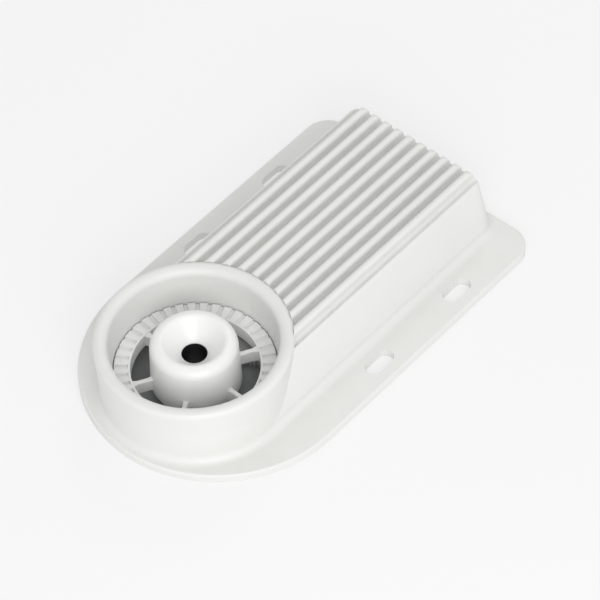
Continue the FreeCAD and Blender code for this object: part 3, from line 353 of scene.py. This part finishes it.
hub = turned_solid("wheel_hub", rounded([
    (SLEEVE_R, WHEEL_LOW[2], 0.0), (JOURNAL_R, WHEEL_LOW[2], EDGE_R), (JOURNAL_R, BOSS_FOOT, 0.0),
    (BOSS_FOOT_R, BOSS_FOOT, EDGE_R), (BOSS_R, BOSS_TOP, BOSS_ROUND_R), (FUNNEL_R, BOSS_TOP, MOUTH_ROUND_R),
    (BORE_R, FUNNEL_FLOOR, THROAT_ROUND_R), (BORE_R, SLEEVE_TOP, 0.0), (SLEEVE_R, SLEEVE_TOP, 0.0),
]))
rim = turned_solid("wheel_rim", rounded([
    (RIM_INNER_R, RIM_FOOT, 0.0), (RIM_SEAT_R, RIM_FOOT, 0.0), (RIM_SEAT_R, RIM_SEAT, 0.0),
    (RIM_R, RIM_SEAT, 0.0), (RIM_R, KEY_ROOT, 0.0), (KEY_INNER_R, KEY_ROOT, 0.0),
    (KEY_INNER_R, KEY_TOP, EDGE_R), (RIM_INNER_R, KEY_TOP, EDGE_R),
]))
key_pitch = 2 * math.pi / KEY_COUNT
key_near = KEY_INNER_R - EDGE_R
key_far = RIM_R * 0.9985
key_ends = [(r, (key_pitch * r - KEY_GAP) / 2) for r in (key_near, key_far)]
key = moulded_block("wheel_key", [Vector((key_near, -key_ends[0][1])), Vector((key_far, -key_ends[1][1])),
                                  Vector((key_far, key_ends[1][1])), Vector((key_near, key_ends[0][1]))],
                    KEY_ROOT - EDGE_R, KEY_TOP - 0.00002, KEY_ROUND_R)
web_near = BOSS_R * 0.95
web_far = RIM_INNER_R + EDGE_R
web_flared = WEB_HALF + WEB_FLARE
web_plan = rounded([
    (web_near, -web_flared, 0.0), (web_near + WEB_ROOT, -WEB_HALF, WEB_ROUND_R),
    (web_far - WEB_TIP, -WEB_HALF, WEB_ROUND_R), (web_far, -web_flared, 0.0),
    (web_far, web_flared, 0.0), (web_far - WEB_TIP, WEB_HALF, WEB_ROUND_R),
    (web_near + WEB_ROOT, WEB_HALF, WEB_ROUND_R), (web_near, web_flared, 0.0),
])
web = moulded_block("wheel_web", web_plan, RIM_FOOT, WEB_TOP, EDGE_R)
web.data.transform(Matrix.Rotation(math.pi / WEB_COUNT, 4, "Z"))


def node_tree_for(name, inputs):
    """An empty Geometry Nodes tree with named inputs and one Geometry output."""
    tree = bpy.data.node_groups.new(name, "GeometryNodeTree")
    tree.interface.new_socket(name="Geometry", in_out="INPUT", socket_type="NodeSocketGeometry")
    for label, kind in inputs:
        tree.interface.new_socket(name=label, in_out="INPUT", socket_type=kind)
    tree.interface.new_socket(name="Geometry", in_out="OUTPUT", socket_type="NodeSocketGeometry")
    return tree, tree.nodes.new("NodeGroupInput"), tree.nodes.new("NodeGroupOutput")


def copies_round(tree, thing, count):
    """Copies of one shape as instances, evenly round Z."""
    single = tree.nodes.new("GeometryNodeGeometryToInstance")
    copies = tree.nodes.new("GeometryNodeDuplicateElements")
    copies.domain = "INSTANCE"
    tree.links.new(thing, single.inputs["Geometry"])
    tree.links.new(single.outputs["Instances"], copies.inputs["Geometry"])
    tree.links.new(count, copies.inputs["Amount"])
    step = tree.nodes.new("ShaderNodeMath")
    step.operation = "DIVIDE"
    step.inputs[0].default_value = 2 * math.pi
    tree.links.new(count, step.inputs[1])
    angle = tree.nodes.new("ShaderNodeMath")
    angle.operation = "MULTIPLY"
    tree.links.new(copies.outputs["Duplicate Index"], angle.inputs[0])
    tree.links.new(step.outputs["Value"], angle.inputs[1])
    turn = tree.nodes.new("ShaderNodeCombineXYZ")
    tree.links.new(angle.outputs["Value"], turn.inputs["Z"])
    rotate = tree.nodes.new("GeometryNodeRotateInstances")
    rotate.inputs["Local Space"].default_value = False
    tree.links.new(copies.outputs["Geometry"], rotate.inputs["Instances"])
    tree.links.new(turn.outputs["Vector"], rotate.inputs["Rotation"])
    return rotate.outputs["Instances"]


def end_tree(tree, geometry, material, result):
    """Realize Instances and Set Material, as the last two nodes."""
    realize = tree.nodes.new("GeometryNodeRealizeInstances")
    paint = tree.nodes.new("GeometryNodeSetMaterial")
    tree.links.new(geometry, realize.inputs["Geometry"])
    tree.links.new(realize.outputs["Geometry"], paint.inputs["Geometry"])
    tree.links.new(material, paint.inputs["Material"])
    tree.links.new(paint.outputs["Geometry"], result.inputs["Geometry"])


def grown(name, tree, base, values):
    """Runs a tree on a base object with its inputs set, and leaves one plain mesh object."""
    modifier = base.modifiers.new("grow", "NODES")
    modifier.node_group = tree
    for item in tree.interface.items_tree:
        if item.in_out == "INPUT" and item.name in values:
            modifier[item.identifier] = values[item.name]
    graph = bpy.context.evaluated_depsgraph_get()
    data = bpy.data.meshes.new_from_object(base.evaluated_get(graph))
    bpy.data.objects.remove(base)
    data.name = name
    return new_object(name, data)


def wheel_tree():
    """Hub, rim, webs and keys moulded into one body."""
    tree, given, result = node_tree_for("wheel", [
        ("Rim", "NodeSocketObject"), ("Web", "NodeSocketObject"), ("Key", "NodeSocketObject"),
        ("Web Count", "NodeSocketInt"), ("Key Count", "NodeSocketInt"), ("Material", "NodeSocketMaterial"),
    ])
    shapes = []
    for label in ("Rim", "Web", "Key"):
        taken = tree.nodes.new("GeometryNodeObjectInfo")
        tree.links.new(given.outputs[label], taken.inputs["Object"])
        shapes.append(taken.outputs["Geometry"])
    webs = copies_round(tree, shapes[1], given.outputs["Web Count"])
    keys = copies_round(tree, shapes[2], given.outputs["Key Count"])
    joined = tree.nodes.new("GeometryNodeMeshBoolean")
    joined.operation = "UNION"
    joined.solver = "MANIFOLD"
    for part in (keys, webs, shapes[0], given.outputs["Geometry"]):
        tree.links.new(part, joined.inputs["Mesh 2"])
    end_tree(tree, joined.outputs["Mesh"], given.outputs["Material"], result)
    return tree


def smoothed(piece, angle, weld=1e-6):
    """Welds the piece, shades it smooth up to an angle and evens the normals by face area."""
    shape = bmesh.new()
    shape.from_mesh(piece.data)
    bmesh.ops.remove_doubles(shape, verts=shape.verts, dist=weld)
    shape.to_mesh(piece.data)
    shape.free()
    piece.data.shade_smooth()
    piece.data.set_sharp_from_angle(angle=angle)
    even = piece.modifiers.new("even", "WEIGHTED_NORMAL")
    even.keep_sharp = True
    graph = bpy.context.evaluated_depsgraph_get()
    data = bpy.data.meshes.new_from_object(piece.evaluated_get(graph))
    piece.modifiers.clear()
    piece.data = data
    return piece


acetal = finish("acetal_white", (0.84, 0.84, 0.83), (0.81, 0.81, 0.80), (0.3, 0.4), 900.0, 4e-6, dust=0.05)
wheel = grown("drive_wheel_moulding", wheel_tree(), hub, {
    "Rim": rim, "Web": web, "Key": key, "Web Count": WEB_COUNT, "Key Count": KEY_COUNT, "Material": acetal,
})
for used in (rim, web, key):
    bpy.data.objects.remove(used)
wheel = smoothed(wheel, SMOOTH_ANGLE)
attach(wheel, "wheel")
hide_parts("drive_wheel")

# ---- Hub sleeve ----
# A drawn steel sleeve pressed into the wheel's boss. Its near-black colour is painted shade, which makes the deep
# bore read dark. A half-inch shaft runs in its bore.
sleeve_painted_shade = finish("steel_sleeve_painted_shade", (0.035, 0.035, 0.038), (0.02, 0.02, 0.022), (0.3, 0.48), 700.0, 6e-6,
                   metallic=0.6, stretch=(1.0, 1.0, 8.0))
dress(sleeve_painted_shade, "hub_sleeve")

# ---- Back cover ----
# A grey moulded plate that closes the mounting side. Its tool was spark-eroded, so the face has a
# fine leather-like grain; the hub boss and the pin boss stand up inside.
cover_plastic = finish("cover_plastic_grey", (0.30, 0.305, 0.31), (0.26, 0.265, 0.27), (0.5, 0.62), 1600.0, 6e-5)
dress(cover_plastic, "back_cover")

# ---- Seals and grommet ----
# Die-cut nitrile for the cover's gasket and the wheel's seal, and a moulded blind grommet at the
# cable entry. All are matt black and pick up a little pale dust.
nitrile = finish("nitrile_black", (0.035, 0.035, 0.035), (0.022, 0.022, 0.022), (0.65, 0.85), 1200.0, 2e-5, dust=0.25)
dress(nitrile, "cover_gasket", "wheel_seal", "cable_grommet")

# ---- Screws ----
# Countersunk and pan-head hexagon-socket screws in zinc-plated steel: seven hold the cover, six the
# ring gear, four the motor plate and four the board.
zinc_steel = finish("zinc_plated_steel", (0.62, 0.63, 0.64), (0.5, 0.51, 0.53), (0.22, 0.4), 2200.0, 4e-6,
                    metallic=1.0)
dress(zinc_steel, "cover_screws", "ring_gear_screws", "motor_plate_screws", "board_screws")

# ---- Bushes ----
# Sintered bronze, soaked in oil: the wheel's flanged bush and the two small bushes of the motor shaft.
sintered = finish("sintered_bronze", (0.60, 0.40, 0.19), (0.42, 0.26, 0.12), (0.3, 0.5), 2600.0, 1.5e-5, metallic=1.0)
dress(sintered, "hub_bush", "motor_bush_lower", "motor_bush_upper", "motor_pinion")

# ---- Washers and motor plug ----
# Natural nylon, slightly yellow and waxy: the thrust washer, the idler's two washers and the plug body.
nylon = finish("nylon_natural", (0.78, 0.76, 0.68), (0.72, 0.7, 0.62), (0.4, 0.52), 800.0, 5e-6)
dress(nylon, "thrust_washer", "idler_washers", "motor_connector")

# ---- Gears ----
# The ring gear and the idler gear are moulded in grey glass-filled nylon, whose fibres leave faint streaks.
gear_nylon = finish("gear_nylon_grey", (0.47, 0.48, 0.47), (0.38, 0.39, 0.385), (0.38, 0.55), 1100.0, 1.2e-5,
                    stretch=(1.0, 1.0, 3.0))
dress(gear_nylon, "ring_gear", "idler_gear")

# ---- Idler pin, pinion and motor shaft ----
# Hardened steel, ground round the axis, so the marks run across it.
ground_steel = finish("ground_steel", (0.60, 0.60, 0.61), (0.48, 0.48, 0.5), (0.16, 0.3), 900.0, 5e-6, metallic=1.0,
                      stretch=(1.0, 1.0, 14.0))
dress(ground_steel, "idler_pin", "idler_pinion", "motor_shaft")

# ---- Motor shell ----
# Plate and deep-drawn can in zinc-plated sheet steel, with the faint spangle of the plating.
zinc_sheet = finish("zinc_sheet", (0.66, 0.68, 0.70), (0.55, 0.57, 0.6), (0.25, 0.42), 1500.0, 6e-6, metallic=1.0)
dress(zinc_sheet, "motor_plate", "motor_can")

# ---- Stator and rotor cores ----
# Stacks of half-millimetre silicon-steel laminations, whose cut edges show as fine rings.
laminated = finish("laminated_steel", (0.36, 0.37, 0.39), (0.26, 0.27, 0.29), (0.35, 0.55), 60.0, 8e-5, metallic=1.0,
                   stretch=(0.05, 0.05, 30.0))
dress(laminated, "stator_core", "rotor_core")

# ---- Magnets ----
# Six sintered magnets, nickel plated, glued round the rotor core.
nickel = finish("nickel_plate", (0.56, 0.54, 0.50), (0.45, 0.43, 0.4), (0.15, 0.3), 1800.0, 4e-6, metallic=1.0)
dress(nickel, "rotor_magnets")

# ---- Stator windings ----
# Nine coils of enamelled copper wire, wound in layers round the stator's teeth.
enamel = finish("enamelled_copper", (0.72, 0.32, 0.12), (0.5, 0.18, 0.06), (0.2, 0.32), 600.0, 4e-5, metallic=0.85)
dress(enamel, "stator_coils")

# ---- Heat pads ----
# Soft silicone pads that carry heat from the motor and the transistors to the finned wall.
silicone = finish("silicone_pad", (0.34, 0.42, 0.52), (0.28, 0.36, 0.46), (0.6, 0.8), 900.0, 3e-5)
dress(silicone, "motor_pad", "transistor_pad")

# ---- Control board ----
# Glass laminate under green solder mask, with the paler lines of the tracks beneath it.
solder_mask = finish("solder_mask_green", (0.02, 0.16, 0.07), (0.012, 0.10, 0.045), (0.25, 0.4), 420.0, 3e-5)
dress(solder_mask, "control_board")

# ---- Packages, capacitors and terminals ----
# Black epoxy packages, capacitors in dark sleeves and a green polyamide terminal block.
epoxy = finish("epoxy_black", (0.03, 0.03, 0.031), (0.018, 0.018, 0.02), (0.45, 0.6), 2500.0, 1.5e-5)
dress(epoxy, "power_transistors", "control_chips")
sleeve_film = finish("sleeve_film", (0.035, 0.04, 0.07), (0.02, 0.022, 0.045), (0.22, 0.34), 500.0, 1e-5,
                     stretch=(1.0, 1.0, 0.2))
dress(sleeve_film, "capacitors")
polyamide = finish("polyamide_green", (0.04, 0.26, 0.11), (0.03, 0.2, 0.08), (0.3, 0.42), 900.0, 6e-6)
dress(polyamide, "terminal_block")
